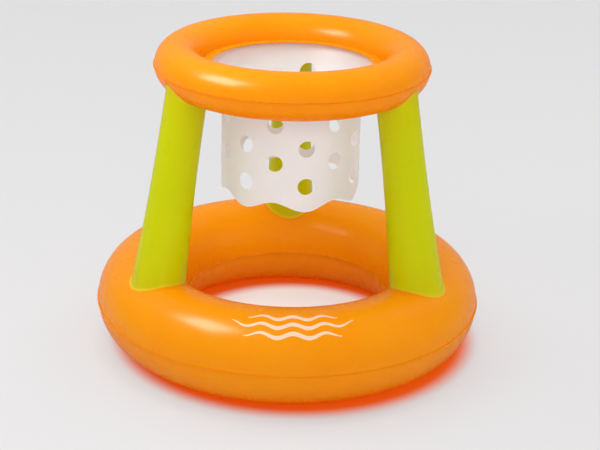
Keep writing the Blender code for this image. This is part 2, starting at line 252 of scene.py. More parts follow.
# Base ring: two flat rings of orange vinyl sheet, welded to each other along an outer and an inner
# seam and blown up into a tube. The sheet puckers where the welds hold it in, and the tube's own
# weight presses its underside flat.
Dents = namedtuple("Dents", "count depth width length")
Ring = namedtuple("Ring", (
    "centre_radius", "tube_radius", "height", "inner_seam_width", "columns", "rows",
    "outer_dents", "inner_dents", "seed",
))
Mottle = namedtuple("Mottle", "scale detail low high")
Relief = namedtuple("Relief", "scale strength depth")

vinyl_thickness = 0.0003
weld_gap = 0.0003
outer_seam_width = 0.002
base_ring = Ring(
    centre_radius=0.2565, tube_radius=0.0785, height=0.0773074, inner_seam_width=0.004,
    columns=640, rows=34, seed=11,
    outer_dents=Dents(count=150, depth=0.00018, width=0.0046, length=0.013),
    inner_dents=Dents(count=64, depth=0.00030, width=0.0036, length=0.010),
)
seam_wave_height = 0.00035
seam_wave_counts = (5, 9, 14, 23)
seam_cockle_height = 0.0006
seam_cockle_counts = (17, 29, 43)
seam_wave_fade = 0.5
inner_wave_share = 0.4
seam_row_shares = (0.2, 0.5, 0.8)
panel_row_evenness = 0.55
dent_stray = 0.4
dent_depth_range = (0.25, 1.0)
dent_width_range = (0.7, 1.3)
dent_length_range = (0.5, 1.2)
dent_root_length = 0.0025
weld_mark_length = 0.0011
orange = (0.99, 0.465, 0.003)
deep_orange = (0.985, 0.415, 0.002)
# The weld colour is a shade lighter than the sheet: painted light against the shade along the seams.
orange_weld_painted_lift = (0.99, 0.47, 0.005)
orange_through = (0.97, 0.235, 0.001)
orange_shine = (1.0, 0.75, 0.6)
orange_roughness = 0.24
vinyl_glow = 0.43
vinyl_coat = 0.1
vinyl_coat_roughness = 0.18
vinyl_ior = 1.34
vinyl_clouds = Mottle(scale=8.0, detail=3.0, low=0.3, high=0.7)
vinyl_smudges = Mottle(scale=38.0, detail=4.0, low=0.3, high=0.75)
smudge_dullness = 0.08
relief_detail = 2.0
vinyl_grain = Relief(scale=1100.0, strength=0.25, depth=0.00006)
vinyl_creases = Relief(scale=26.0, strength=0.35, depth=0.0007)
sharp_angle = math.radians(50)
bore_facets = 40
port_reach = 0.010
port_radius = 0.0068
base_valve_azimuth = math.radians(60)
base_valve_tilt = math.radians(20)


def noise(tree, place, scale, detail):
    """A noise pattern over a piece."""
    node = add_node(tree, "ShaderNodeTexNoise", {"Vector": place, "Scale": scale, "Detail": detail})
    return node.outputs["Fac"]


def mottled(tree, place, mottle, to_low=0.0, to_high=1.0):
    """A value that wanders between two others over a piece."""
    return spread(tree, noise(tree, place, mottle.scale, mottle.detail), mottle.low, mottle.high,
                  to_low, to_high)


def embossed(tree, place, relief, **others):
    """The normals of a surface with a fine relief."""
    return add_node(tree, "ShaderNodeBump", {
        "Height": noise(tree, place, relief.scale, relief_detail), "Strength": relief.strength,
        "Distance": relief.depth, **others,
    }).outputs["Normal"]


def vinyl(name, colour, deep_colour, weld_painted_light_colour, through_colour, shine, roughness):
    """Glossy vinyl sheet, a little cloudy, with fine grain, faint creases, welds painted in a lighter
    colour as painted light, and a deeper colour where light comes through it."""
    material, tree, shader = new_finish(
        name, IOR=vinyl_ior, Specular_Tint=(*shine, 1),
        Coat_Weight=vinyl_coat, Coat_Roughness=vinyl_coat_roughness,
    )
    place = add_node(tree, "ShaderNodeTexCoord").outputs["Object"]
    cloudy = mottled(tree, place, vinyl_clouds)
    weld = add_node(tree, "ShaderNodeAttribute", attribute_name="weld").outputs["Fac"]
    # Welds and the millimetre beside them take the weld colour, which is painted light.
    feed(tree, shader, {
        "Base Color": blend(tree, weld, blend(tree, cloudy, colour, deep_colour), weld_painted_light_colour),
        "Roughness": mottled(tree, place, vinyl_smudges, roughness, roughness + smudge_dullness),
        "Normal": embossed(tree, place, vinyl_creases, Normal=embossed(tree, place, vinyl_grain)),
    })
    glow = add_node(tree, "ShaderNodeBsdfTranslucent", {"Color": (*through_colour, 1)})
    surface_of(tree, vinyl_glow, shader, glow)
    return material


def shell_mesh(name, points, marks, lining):
    """A closed mesh of a grid of points that wraps round both ways, with its weld marks and its
    lining's rows."""
    columns, rows = points.shape[:2]
    index = np.arange(columns * rows).reshape(columns, rows)
    after = np.roll(index, -1, axis=0)
    faces = np.stack([index, after, np.roll(after, -1, axis=1), np.roll(index, -1, axis=1)], axis=-1)
    mesh = plain_mesh(name, points.reshape(-1, 3), faces.reshape(-1, 4).tolist())
    mesh.attributes.new("weld", "FLOAT", "POINT").data.foreach_set("value", marks.astype(np.float32).ravel())
    layer = np.zeros((columns, rows), dtype=np.int32)
    layer[:, lining] = 1
    mesh.polygons.foreach_set("material_index", layer.ravel())
    return mesh


def face_outwards(mesh):
    """Turn a closed mesh's faces outwards if they point in."""
    shell = bmesh.new()
    shell.from_mesh(mesh)
    if shell.calc_volume(signed=True) < 0:
        bmesh.ops.reverse_faces(shell, faces=shell.faces)
        shell.to_mesh(mesh)
    shell.free()


def mesh_of(name, work):
    """The mesh of a finished piece of work."""
    mesh = bpy.data.meshes.new(name)
    work.to_mesh(mesh)
    work.free()
    return mesh


def finished(mesh, *modifiers):
    """The plain mesh that modifiers, each given as its kind and its settings, make of a mesh."""
    thing = in_scene("work", mesh)
    for kind, settings in modifiers:
        modifier = thing.modifiers.new(kind.lower(), kind)
        for name, value in settings.items():
            if name.startswith("Socket"):
                modifier[name] = value
            else:
                setattr(modifier, name, value)
    depsgraph = bpy.context.evaluated_depsgraph_get()
    result = bpy.data.meshes.new_from_object(
        thing.evaluated_get(depsgraph), preserve_all_data_layers=True, depsgraph=depsgraph,
    )
    bpy.data.objects.remove(thing)
    return result


def combined(mesh, operation, *others):
    """A mesh with other closed meshes joined to it or cut from it."""
    helpers = [in_scene(other.name, other) for other in others]
    settings = [{"operation": operation, "solver": "EXACT", "object": helper} for helper in helpers]
    result = finished(mesh, *[("BOOLEAN", setting) for setting in settings])
    for helper in helpers:
        bpy.data.objects.remove(helper)
    return result


def add_rod(work, place, radius, length, facets):
    """Add a round rod that lies along Z at a place."""
    bmesh.ops.create_cone(work, cap_ends=True, segments=facets, radius1=radius, radius2=radius,
                          depth=length, matrix=place)


def bored(mesh, *cutters):
    """A mesh with round holes through it. Each cutter has its start, its end and its radius."""
    drill = bmesh.new()
    for start, end, radius in cutters:
        along = end - start
        place = Matrix.Translation((start + end) / 2) @ along.to_track_quat("Z", "Y").to_matrix().to_4x4()
        add_rod(drill, place, radius, along.length, bore_facets)
    return combined(mesh, "DIFFERENCE", mesh_of("drill", drill))


def valve_frame(ring, azimuth, tilt):
    """A frame on a tube's surface over its seam: X along the ring, Z outwards."""
    radial = Vector((math.cos(azimuth), math.sin(azimuth), 0))
    outward = radial * math.cos(tilt) + Vector((0, 0, math.sin(tilt)))
    sideways = Vector((-math.sin(azimuth), math.cos(azimuth), 0))
    core = radial * ring.centre_radius + Vector((0, 0, ring.height))
    axes = Matrix((sideways, outward.cross(sideways), outward)).transposed().to_4x4()
    return Matrix.Translation(core + outward * ring.tube_radius) @ axes


def port(seat):
    """The cutter of the hole through which a valve's stem enters its panel."""
    return seat @ Vector((0, 0, -port_reach)), seat @ Vector((0, 0, port_reach)), port_radius


def add_piece(name, mesh, materials, body, slot, *nodes):
    """Put a finished mesh in the scene as a piece that rides on a body and stands for CAD nodes."""
    face_outwards(mesh)
    mesh.shade_smooth()
    mesh.set_sharp_from_angle(angle=sharp_angle)
    layers = np.zeros(len(mesh.polygons), dtype=np.int32)
    mesh.polygons.foreach_get("material_index", layers)
    mesh.materials.clear()
    for material in materials:
        mesh.materials.append(material)
    mesh.polygons.foreach_set("material_index", np.minimum(layers, len(materials) - 1))
    piece = in_scene(name, mesh)
    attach(piece, body)
    if nodes:
        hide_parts(*nodes)
    return piece


def dents_along(dents, around, girth, reach, random):
    """How deep the puckers along a weld are, by place around it (0 to 1) and by distance from it."""
    at = (np.arange(dents.count) + random.uniform(-dent_stray, dent_stray, dents.count)) / dents.count
    depth = dents.depth * random.uniform(*dent_depth_range, dents.count)
    width = dents.width * random.uniform(*dent_width_range, dents.count)
    length = dents.length * random.uniform(*dent_length_range, dents.count)
    away = (around[:, None] - at[None, :] + 0.5) % 1 - 0.5
    across = np.exp(-(away * girth / width) ** 2) * depth
    root = 1 - np.exp(-reach / dent_root_length)
    along = np.exp(-(reach[None, :] / length[:, None]) ** 2) * root
    return across @ along


def wander(seed, around, counts):
    """A wavy line of height 1 round a ring, made of sines that each run round it a whole number of times."""
    random = np.random.default_rng(seed)
    return sum(np.sin(math.tau * (count * around + random.uniform())) for count in counts) / len(counts)


def seam_lift(ring, around, reach):
    """How far a ring's seams wander up or down, by place round the ring and by reach from its core."""
    wave = seam_wave_height * wander(ring.seed + 1, around, seam_wave_counts)
    cockle = seam_cockle_height * wander(ring.seed + 2, around, seam_cockle_counts)
    across = np.clip((-reach - ring.tube_radius) / ring.inner_seam_width, 0, 1)
    return wave * np.where(reach > 0, 1.0, inner_wave_share) + cockle * np.sin(math.pi * across) ** 2


def panel_points(ring, side, flat_at=None):
    """A panel's closed shell as columns of points round the ring, its weld marks and its lining's
    rows."""
    around = np.arange(ring.columns) / ring.columns
    even = np.linspace(0, math.pi, ring.rows + 1)[1:-1]
    arc = panel_row_evenness * even + (1 - panel_row_evenness) * (math.pi / 2) * (1 - np.cos(even))
    from_outer = ring.tube_radius * arc
    from_inner = ring.tube_radius * (math.pi - arc)
    random = np.random.default_rng(ring.seed)
    outer_girth = math.tau * (ring.centre_radius + ring.tube_radius)
    inner_girth = math.tau * (ring.centre_radius - ring.tube_radius)
    sunk = dents_along(ring.outer_dents, around, outer_girth, from_outer, random)
    sunk += dents_along(ring.inner_dents, around, inner_girth, from_inner, random)

    under = weld_gap / 2
    over = under + vinyl_thickness
    radius = ring.tube_radius
    bore = radius - vinyl_thickness
    sections = [(radius + outer_seam_width, over, 1.0), (radius, over, 1.0)]
    sections += [None] * len(arc)
    seam_rows = [-radius - share * ring.inner_seam_width for share in (0.0, *seam_row_shares, 1.0)]
    sections += [(row, over, 1.0) for row in seam_rows]
    sections += [(row, under, 1.0) for row in seam_rows[:0:-1]] + [(-bore, under, 1.0)]
    sections += [None] * len(arc)
    sections += [(bore, under, 1.0), (radius + outer_seam_width, under, 1.0)]
    reach = np.zeros((ring.columns, len(sections)))
    rise = np.zeros_like(reach)
    mark = np.zeros_like(reach)
    lowest = np.zeros_like(reach)
    for k, section in enumerate(sections):
        if section:
            reach[:, k], rise[:, k], mark[:, k] = section
    wall = slice(2, 2 + len(arc))
    lining = slice(len(arc) + 2 * len(seam_rows) + 2, 2 * len(arc) + 2 * len(seam_rows) + 2)
    near_weld = np.exp(-from_outer / weld_mark_length) + np.exp(-from_inner / weld_mark_length)
    for rows, shell_radius, order in ((wall, radius, slice(None)), (lining, bore, slice(None, None, -1))):
        skin = shell_radius - sunk[:, order]
        reach[:, rows] = skin * np.cos(arc[order])
        rise[:, rows] = skin * np.sin(arc[order])
        mark[:, rows] = near_weld[order]
    lowest[:, lining] = vinyl_thickness
    held = np.clip(1 - np.abs(rise) / (radius * seam_wave_fade), 0, 1) ** 2
    lift = held * seam_lift(ring, around[:, None], reach)
    height = ring.height + side * rise + lift
    if flat_at is not None:
        height = np.maximum(height, flat_at + lowest)
    angle = math.tau * around[:, None]
    distance = ring.centre_radius + reach
    points = np.stack([distance * np.cos(angle), distance * np.sin(angle), height], axis=-1)
    return points, mark, lining


def add_panel(name, ring, side, holes=(), **rest):
    """Add one of the two panels of a ring, with round holes through it."""
    sheet = shell_mesh(name + "_sheet", *panel_points(ring, side, **rest))
    if holes:
        sheet = bored(sheet, *holes)
    add_piece(name + "_sheet", sheet, (orange_vinyl, chamber_lining), "hoop", "ring_vinyl", name + "_panel")


orange_vinyl = vinyl(
    "orange_vinyl", orange, deep_orange, orange_weld_painted_lift, orange_through, orange_shine, orange_roughness,
)
chamber_lining, lining_tree, lining_shader = new_finish("chamber_lining")
lining_tree.nodes.remove(lining_shader)
clear_face = add_node(lining_tree, "ShaderNodeBsdfTransparent")
feed(lining_tree, lining_tree.nodes["Material Output"], {"Surface": clear_face})
base_valve = valve_frame(base_ring, base_valve_azimuth, base_valve_tilt)
add_panel("base_lower", base_ring, -1, flat_at=0.0)
add_panel("base_upper", base_ring, 1, (port(base_valve),))


# Weld ribs: the welding tool's knurled edge presses a row of small ribs across both faces of each
# seam. They are part of the sheets and have their colour.
rib_pitch = 0.0032
rib_width = 0.0011
rib_height = 0.00014
rib_sink = 0.00005
rib_seam_share = 0.72
rib_taper = (0.86, 0.45, 1.0)


def new_tree(name, **inputs):
    """A Geometry Nodes tree with a named input for each size, and its input and output nodes."""
    tree = bpy.data.node_groups.new(name, "GeometryNodeTree")
    tree.interface.new_socket("Geometry", in_out="INPUT", socket_type="NodeSocketGeometry")
    for label, kind in inputs.items():
        tree.interface.new_socket(label.replace("_", " "), in_out="INPUT", socket_type="NodeSocket" + kind)
    tree.interface.new_socket("Geometry", in_out="OUTPUT", socket_type="NodeSocketGeometry")
    return tree, tree.nodes.new("NodeGroupInput").outputs, tree.nodes.new("NodeGroupOutput")


def sized(tree, **sizes):
    """The modifier that runs a tree with its named inputs set."""
    settings = {"node_group": tree}
    for item in tree.interface.items_tree:
        label = item.name.replace(" ", "_")
        if item.in_out == "INPUT" and label in sizes:
            settings[item.identifier] = sizes[label]
    return "NODES", settings


rib_tree, rib_in, rib_out = new_tree(
    "weld_ribs", Length="Float", Width="Float", Height="Float", Sink="Float", Vinyl="Material",
)
rib_node = partial(add_node, rib_tree)
rib_figure = partial(figure, rib_tree)
rib_size = rib_node("ShaderNodeCombineXYZ", {
    "X": rib_in["Length"], "Y": rib_in["Width"], "Z": rib_figure("ADD", rib_in["Height"], rib_in["Sink"]),
})
rib_block = rib_node("GeometryNodeMeshCube", {"Size": rib_size})
rib_corner = rib_node("GeometryNodeInputPosition").outputs[0]
rib_rise = rib_node("ShaderNodeSeparateXYZ", {0: rib_corner}).outputs["Z"]
rib_narrowed = vector_figure(rib_tree, "MULTIPLY", rib_corner, rib_taper)
rib_tapered = rib_node("GeometryNodeSetPosition", {
    "Geometry": rib_block, "Selection": rib_figure("GREATER_THAN", rib_rise, 0.0),
    "Position": rib_narrowed,
})
rib_lift = rib_node("ShaderNodeCombineXYZ", {
    "Z": rib_figure("MULTIPLY", rib_figure("SUBTRACT", rib_in["Height"], rib_in["Sink"]), 0.5),
})
rib_set = rib_node("GeometryNodeSetPosition", {"Geometry": rib_tapered, "Offset": rib_lift})
rib_turn = rib_node("GeometryNodeInputNamedAttribute", {"Name": "turn"}, data_type="FLOAT_VECTOR")
rib_row = rib_node("GeometryNodeInstanceOnPoints", {
    "Points": rib_in["Geometry"], "Instance": rib_set, "Rotation": rib_turn,
})
rib_solid = rib_node("GeometryNodeRealizeInstances", {"Geometry": rib_row})
rib_coloured = rib_node("GeometryNodeSetMaterial", {"Geometry": rib_solid, "Material": rib_in["Vinyl"]})
feed(rib_tree, rib_out, {0: rib_coloured})


def rib_places(ring, middle, side):
    """Where ribs stand on one face of a seam, as a mesh of points with their turns."""
    radius = ring.centre_radius + middle
    count = round(math.tau * radius / rib_pitch)
    around = np.arange(count) / count
    angle = math.tau * around
    face = side * (weld_gap / 2 + vinyl_thickness)
    height = ring.height + seam_lift(ring, around, np.full(count, middle)) + face
    places = np.stack([radius * np.cos(angle), radius * np.sin(angle), height], axis=-1)
    mesh = plain_mesh("rib_places", places.tolist())
    turns = np.stack([np.full(count, math.pi * (side < 0)), np.zeros(count), angle], axis=-1)
    turn = mesh.attributes.new("turn", "FLOAT_VECTOR", "POINT")
    turn.data.foreach_set("vector", turns.astype(np.float32).ravel())
    return mesh


def add_ribs(name, ring, seams):
    """The ribs on both faces of a ring's welds. Each weld has its start, seen from the ring's core,
    and its width."""
    rows = bmesh.new()
    for start, width in seams:
        for side in (-1, 1):
            rows.from_mesh(finished(rib_places(ring, start + width / 2, side), sized(
                rib_tree, Length=width * rib_seam_share, Width=rib_width, Height=rib_height,
                Sink=rib_sink, Vinyl=orange_vinyl,
            )))
    add_piece(name, mesh_of(name, rows), (orange_vinyl,), "hoop", "ring_vinyl")


add_ribs("base_weld_ribs", base_ring, (
    (base_ring.tube_radius, outer_seam_width),
    (-base_ring.tube_radius - base_ring.inner_seam_width, base_ring.inner_seam_width),
))


# Print: three cream waves, printed on the front of the base ring's upper panel before it was
# welded. The ink is a thin skin that follows the tube.
print_middle_azimuth = math.radians(-88)
print_waves = ((49.0, 14.7), (62.0, 19.6), (75.0, 14.7))
print_wavelength = math.radians(9.8)
print_swing = math.radians(2.9)
print_half_width = math.radians(2.9)
print_columns_per_wave = 56
print_rows = 6
print_end_share = 0.02
print_swell_power = 0.7
ink_height = 0.00006
ink_sink = 0.00020
cream = (0.96, 0.90, 0.70)
deep_cream = (0.93, 0.86, 0.66)
ink_shine = (1.0, 1.0, 1.0)
ink_roughness = 0.3


def on_tube(ring, azimuth, lift_angle, off):
    """Points off a ring's tube by an azimuth and an angle up from the seam."""
    reach = ring.centre_radius + (ring.tube_radius + off) * np.cos(lift_angle)
    height = ring.height + (ring.tube_radius + off) * np.sin(lift_angle)
    return np.stack([reach * np.cos(azimuth), reach * np.sin(azimuth), height], axis=-1)


def wave_print(ring, lift_angle, half_span):
    """One printed wave: a ribbon that swells in its middle and runs out to a point at both ends."""
    columns = round(print_columns_per_wave * 2 * half_span / print_wavelength) + 1
    along = np.linspace(0, 1, columns)[:, None]
    across = np.linspace(-1, 1, print_rows + 1)[None, :]
    azimuth = print_middle_azimuth + half_span * (2 * along - 1)
    middle = lift_angle + print_swing * np.cos(math.tau * (azimuth - print_middle_azimuth) / print_wavelength)
    swell = np.sin(math.pi * (print_end_share + (1 - 2 * print_end_share) * along)) ** print_swell_power
    around = azimuth + 0 * across
    up = middle + print_half_width * swell * across
    points = np.concatenate([
        on_tube(ring, around, up, ink_height), on_tube(ring, around, up, -ink_sink)[:, ::-1],
    ], axis=1)
    rows = points.shape[1]
    index = np.arange(columns * rows).reshape(columns, rows)
    after = np.roll(index, -1, axis=1)
    faces = np.stack([index[:-1], index[1:], after[1:], after[:-1]], axis=-1).reshape(-1, 4).tolist()
    for end in (index[0], index[-1][::-1]):
        faces += [(int(end[k]), int(end[k + 1]), int(end[-2 - k]), int(end[-1 - k]))
                  for k in range(rows // 2 - 1)]
    return plain_mesh("wave_print", points.reshape(-1, 3).tolist(), faces)


ink = vinyl("cream_ink", cream, deep_cream, cream, cream, ink_shine, ink_roughness)
for place, (lift_angle, half_span) in zip(("lower", "middle", "upper"), print_waves):
    ribbon = wave_print(base_ring, math.radians(lift_angle), math.radians(half_span))
    add_piece("print_" + place + "_wave", ribbon, (ink,), "hoop", "net_vinyl")


# Base valve: moulded of clear vinyl. Its collar is welded round the port, the stem is pushed down
# into it, the plug closes the stem on a short strap, and a check flap hangs at the stem's inner end.
valve_facets = 56
valve_weld_radius = 0.013
valve_weld_thickness = 0.0006
valve_weld_edge = 0.0002
valve_weld_rings = (0.0118, 0.0108)
valve_weld_ring_height = 0.00012
valve_weld_ring_half_width = 0.0004
sleeve_foot = ((0.0006, 0.0), (0.00015, 0.00035))
sleeve_radius = 0.00825
sleeve_height = 0.0025
running_clearance = 0.0003
stem_radius = 0.0062
stem_bore_radius = 0.004
stem_head_radius = 0.0078
stem_head_height = 0.0016
stem_head_foot = sleeve_height + running_clearance
stem_head_top = stem_head_foot + stem_head_height
stem_bead_radius = 0.0075
stem_bead_height = 0.0016
plug_head_radius = 0.007
plug_head_height = 0.0014
plug_depth = 0.004
plug_tip_chamfer = (0.0005, 0.0004)
plug_clearance = 0.0004
plug_dish_edges = (0.0012, 0.0016)
plug_dish_middle = 0.001
plug_dish = 0.0003
plug_hinge_offset = 0.0105
strap_width = 0.0044
strap_thickness = 0.001
strap_edge_share = 0.22
strap_root_share = 0.7
knuckle_radius = 0.0008
flap_radius = 0.0052
flap_thickness = 0.0006
flap_edge = 0.0001
flap_hinge_offset = 0.0058
flap_hinge_width = 0.0036
flap_knuckle_radius = 0.0005
hinge_facets = 24
moulded_edge = 0.00025
corner_share = 0.45
search_steps = 32
clear_vinyl_colour = (0.80, 0.83, 0.85)
clear_vinyl_pale = (0.88, 0.90, 0.91)
clear_vinyl_glow = 0.35
clear_vinyl_roughness = 0.22
milky_gloss = 0.35
milky_clouds = Mottle(scale=30.0, detail=4.0, low=0.3, high=0.7)
milky_unevenness = 0.35
milky_etching = Relief(scale=1500.0, strength=0.3, depth=0.00005)


def milky_vinyl(name, colour, edge_colour, glow, roughness):
    """Vinyl that lets soft light through, a little uneven, and paler along its cut edges."""
    material, tree, shader = new_finish(name, Roughness=roughness, Specular_IOR_Level=milky_gloss)
    place = add_node(tree, "ShaderNodeTexCoord").outputs["Object"]
    uneven = mottled(tree, place, milky_clouds, to_high=milky_unevenness)
    edge = add_node(tree, "ShaderNodeAttribute", attribute_name="edge").outputs["Fac"]
    sheet = blend(tree, figure(tree, "MAXIMUM", uneven, edge), colour, edge_colour)
    feed(tree, shader, {"Base Color": sheet, "Normal": embossed(tree, place, milky_etching)})
    through = add_node(tree, "ShaderNodeBsdfTranslucent", {"Color": sheet})
    surface_of(tree, glow, shader, through)
    return material


def add_band(work, loop, follower):
    """Faces between two closed loops of equal counts."""
    for i in range(len(loop)):
        j = (i + 1) % len(loop)
        work.faces.new((loop[i], loop[j], follower[j], follower[i]))


def turned_mesh(name, loops, capped=False):
    """A mesh of loops of equal counts, in a closed chain or in an open one capped at its ends."""
    shell = bmesh.new()
    rows = [[shell.verts.new(point) for point in loop] for loop in loops]
    followers = rows[1:] if capped else rows[1:] + rows[:1]
    for row, follower in zip(rows, followers):
        add_band(shell, row, follower)
    if capped:
        shell.faces.new(rows[0][::-1])
        shell.faces.new(rows[-1])
    mesh = mesh_of(name, shell)
    face_outwards(mesh)
    return mesh


def circle(radius, height):
    """Points of a circle round the Z axis."""
    angles = [math.tau * k / valve_facets for k in range(valve_facets)]
    return [Vector((radius * math.cos(a), radius * math.sin(a), height)) for a in angles]


def rounded(profile, edge):
    """A closed or open turned profile of (radius, height) corners, with each corner cut back by edge."""
    cut = []
    for k, corner in enumerate(profile):
        point = Vector(corner)
        for neighbour in (profile[k - 1], profile[(k + 1) % len(profile)]):
            step = Vector(neighbour) - point
            cut.append(point + step * min(corner_share, edge / step.length))
    return [tuple(point) for point in cut]


def seated(ring, seat, radius, off):
    """A circle round a valve's axis that lies off a tube's surface, in the valve's frame."""
    loop = []
    for point in circle(radius, 0.0):
        inside, outside = -ring.tube_radius, ring.tube_radius
        for _ in range(search_steps):
            middle = (inside + outside) / 2
            place = seat @ (point + Vector((0, 0, middle)))
            distance = math.hypot(math.hypot(place.x, place.y) - ring.centre_radius, place.z - ring.height)
            if distance < ring.tube_radius + off:
                inside = middle
            else:
                outside = middle
        loop.append(point + Vector((0, 0, outside)))
    return loop


def strap(start, end, width, thickness, height):
    """A flat strap along X with rounded edges."""
    block = bmesh.new()
    size = Matrix.Diagonal((end - start, width, thickness, 1))
    bmesh.ops.create_cube(block, size=1.0, matrix=Matrix.Translation(((start + end) / 2, 0, height)) @ size)
    bmesh.ops.bevel(block, geom=block.edges, offset=thickness * strap_edge_share, segments=3,
                    affect="EDGES", profile=0.5)
    return mesh_of("strap", block)


def barrel(x, height, length, radius):
    """A round hinge barrel along Y."""
    drum = bmesh.new()
    place = Matrix.Translation((x, 0, height)) @ Matrix.Rotation(math.pi / 2, 4, "X")
    add_rod(drum, place, radius, length, hinge_facets)
    return mesh_of("barrel", drum)


def hinge_height(joint_name, seat):
    """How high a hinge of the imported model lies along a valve's axis."""
    pin = next(joint["pos_m"] for joint in frame["joints"] if joint["name"] == joint_name)
    return (seat.inverted() @ Vector(pin)).z


def collar_moulding(ring, seat):
    """A valve's collar: a flange that follows the tube, with two weld rings, and a sleeve."""
    top = valve_weld_thickness
    flange = [(valve_weld_radius, 0.0), (valve_weld_radius - valve_weld_edge, top)]
    for radius in valve_weld_rings:
        flange += [(radius + valve_weld_ring_half_width, top), (radius, top + valve_weld_ring_height),
                   (radius - valve_weld_ring_half_width, top)]
    flange += [(sleeve_radius + run, top + rise) for run, rise in sleeve_foot]
    bore = stem_radius + running_clearance
    sleeve_edge = sleeve_height - moulded_edge
    loops = [seated(ring, seat, radius, weld_gap + height) for radius, height in flange]
    loops += [circle(sleeve_radius, sleeve_edge), circle(sleeve_radius - moulded_edge, sleeve_height)]
    loops += [circle(bore + moulded_edge, sleeve_height), circle(bore, sleeve_edge)]
    loops.append(seated(ring, seat, bore, weld_gap))
    return turned_mesh("collar", loops)


def stem_moulding(plug_line, flap_line):
    """A valve's stem: a tube with a head, a bead at its inner end, and a lug under the strap's
    hinge."""
    bead_low = flap_line + flap_knuckle_radius + running_clearance
    bead_high = bead_low + stem_bead_height
    profile = rounded([
        (stem_bore_radius, stem_head_top), (stem_head_radius, stem_head_top),
        (stem_head_radius, stem_head_foot), (stem_radius, stem_head_foot),
        (stem_radius, bead_high), (stem_bead_radius, bead_high),
        (stem_bead_radius, bead_low), (stem_bore_radius, bead_low),
    ], moulded_edge)
    tube = turned_mesh("stem", [circle(*corner) for corner in profile])
    lug_high = plug_line - knuckle_radius - running_clearance
    lug_start = -plug_hinge_offset - knuckle_radius
    lug_end = -(stem_bore_radius + stem_radius) / 2
    return combined(tube, "UNION", strap(
        lug_start, lug_end, strap_width, lug_high - stem_head_foot, (lug_high + stem_head_foot) / 2,
    ))


def plug_moulding(line):
    """A valve's plug, with its strap. Its pin narrows to the tip, so that it swings out freely."""
    low = line - plug_head_height / 2
    high = line + plug_head_height / 2
    pin_radius = stem_bore_radius - plug_clearance
    far_edge = math.hypot(plug_hinge_offset + stem_bore_radius, line - stem_head_top) - running_clearance
    tip_drop = line - stem_head_top + plug_depth
    tip_radius = math.sqrt(far_edge ** 2 - tip_drop ** 2) - plug_hinge_offset
    tip = line - tip_drop
    chamfer_in, chamfer_up = plug_tip_chamfer
    dish_edge, dish_low_edge = plug_dish_edges
    profile = [
        (tip_radius - chamfer_in, tip), (tip_radius, tip + chamfer_up), (pin_radius, low),
        (plug_head_radius - moulded_edge, low), (plug_head_radius, low + moulded_edge),
        (plug_head_radius, high - moulded_edge), (plug_head_radius - moulded_edge, high),
        (plug_head_radius - dish_edge, high), (plug_head_radius - dish_low_edge, high - plug_dish),
        (plug_dish_middle, high - plug_dish),
    ]
    plug = turned_mesh("plug", [circle(*corner) for corner in profile], capped=True)
    strap_end = -plug_head_radius * strap_root_share
    return combined(
        plug, "UNION", strap(-plug_hinge_offset, strap_end, strap_width, strap_thickness, line),
        barrel(-plug_hinge_offset, line, strap_width, knuckle_radius),
    )


def flap_moulding(line):
    """A valve's check flap: a thin disc on a tab."""
    low = line - flap_thickness / 2
    high = line + flap_thickness / 2
    profile = [
        (flap_radius - flap_edge, low), (flap_radius, low + flap_edge),
        (flap_radius, high - flap_edge), (flap_radius - flap_edge, high),
    ]
    flap = turned_mesh("flap", [circle(*corner) for corner in profile], capped=True)
    tab_start = flap_radius * strap_root_share
    return combined(
        flap, "UNION", strap(tab_start, flap_hinge_offset, flap_hinge_width, flap_thickness, line),
        barrel(flap_hinge_offset, line, flap_hinge_width, flap_knuckle_radius),
    )


def add_valve(ring_name, ring, seat):
    """The four pieces of one inflation valve, which sits on a tube at seat."""
    name = ring_name + "_valve"
    plug_line = hinge_height(ring_name + "_plug_open", seat)
    flap_line = hinge_height(ring_name + "_flap_open", seat)
    mouldings = {
        "collar": collar_moulding(ring, seat), "stem": stem_moulding(plug_line, flap_line),
        "plug": plug_moulding(plug_line), "flap": flap_moulding(flap_line),
    }
    for part, mesh in mouldings.items():
        mesh.transform(seat)
        body = "hoop" if part == "collar" else f"{name}_{part}"
        add_piece(f"{name}_{part}_moulding", mesh, (clear_vinyl,), body, "valve_vinyl", f"{name}_{part}")


clear_vinyl = milky_vinyl(
    "clear_vinyl", clear_vinyl_colour, clear_vinyl_pale, clear_vinyl_glow, clear_vinyl_roughness,
)
add_valve("base", base_ring, base_valve)


# Legs: three tapered tubes of lime vinyl sheet, each rolled up and lapped along its inward side. A
# narrow weld lip holds the wide foot to the base ring and another holds the head under the rim.
rim_ring = Ring(
    centre_radius=0.1935, tube_radius=0.039, height=0.4969778, inner_seam_width=0.018,
    columns=480, rows=26, seed=23,
    outer_dents=Dents(count=104, depth=0.00018, width=0.0042, length=0.010),
    inner_dents=Dents(count=70, depth=0.00035, width=0.0034, length=0.008),
)
leg_azimuths = {"leg_left": 210.0, "leg_right": 330.0, "leg_rear": 90.0}
leg_foot_diameter = 0.090
leg_foot_inset = 0.0065
leg_head_margin = 0.004
leg_weld_width = 0.0032
leg_taper_power = 2
leg_columns = 120
leg_rows = 60
leg_lining_rows = 15
leg_row_evenness = 0.65
leg_search = {"foot": (-0.5, 0.5), "head": (1.2, 0.5)}
leg_lap_width = 0.007
leg_lap_step = 0.01
leg_seed = 31
leg_head_dents = Dents(count=24, depth=0.0007, width=0.0032, length=0.030)
leg_foot_dents = Dents(count=30, depth=0.0005, width=0.0034, length=0.014)
leg_weld_mark_length = 0.0007
lime = (0.725, 0.785, 0.002)
deep_lime = (0.68, 0.75, 0.002)
# The weld lips' lighter yellow is painted light on the thin lips.
lime_lip_painted_light = (0.93, 0.74, 0.03)
lime_through = (0.71, 0.71, 0.001)
lime_shine = (1.0, 1.0, 0.35)
lime_roughness = 0.26


